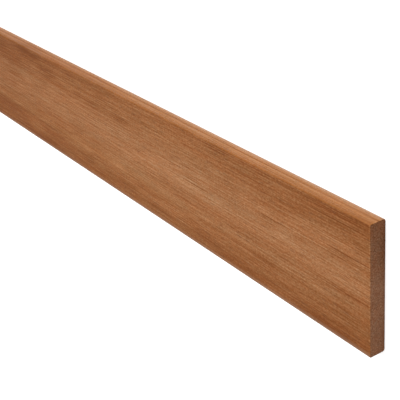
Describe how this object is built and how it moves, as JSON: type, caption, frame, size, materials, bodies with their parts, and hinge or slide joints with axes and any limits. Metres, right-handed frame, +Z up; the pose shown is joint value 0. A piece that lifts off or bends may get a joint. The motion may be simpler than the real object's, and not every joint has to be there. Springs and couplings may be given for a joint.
{
  "type": "hardwood lipping strip",
  "caption": "Thin flat strip of planed hardwood with eased corners and square-sawn ends, glued along the edge of a flush door or board to cover its core.",
  "frame": {"origin": "middle of the glue face, the wide face that the strip lies on", "axes": "+X along the grain, +Y across the width, +Z up through the thickness, out of the show face"},
  "size_m": [2.1, 0.046, 0.006],
  "materials": {
    "hardwood": "planed bare timber, reddish brown, satin, with fine straight grain and short open pores"
  },
  "bodies": {
    "root": {"lipping_strip": "hardwood"}
  },
  "joints": []
}
